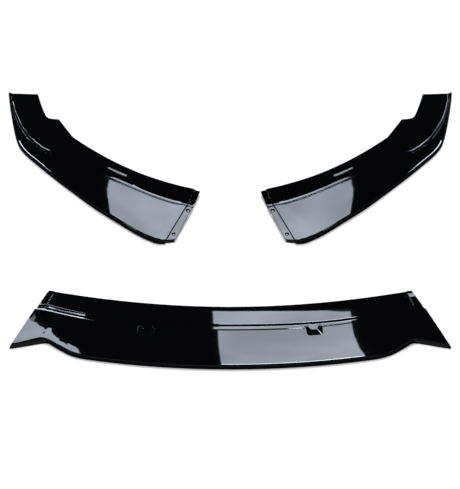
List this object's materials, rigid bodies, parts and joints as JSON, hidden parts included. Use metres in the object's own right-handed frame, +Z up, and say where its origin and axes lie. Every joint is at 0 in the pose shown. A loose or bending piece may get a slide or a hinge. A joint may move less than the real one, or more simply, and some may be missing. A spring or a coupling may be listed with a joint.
{
  "type": "front splitter lip",
  "caption": "Gloss black car front splitter lip: a centre panel and mirrored side panels with screw flanges, laid out ready to be joined.",
  "frame": {"origin": "middle of the whole set on the floor it lies on", "axes": "+X across the car to the right-hand side panel, +Y from the front lip towards the wheel arches, +Z up"},
  "size_m": [1.1446, 0.905, 0.02],
  "materials": {
    "gloss_black": "high gloss"
  },
  "bodies": {
    "root": {"centre_panel": "gloss_black", "left_side_panel": "gloss_black", "right_side_panel": "gloss_black"}
  },
  "joints": []
}
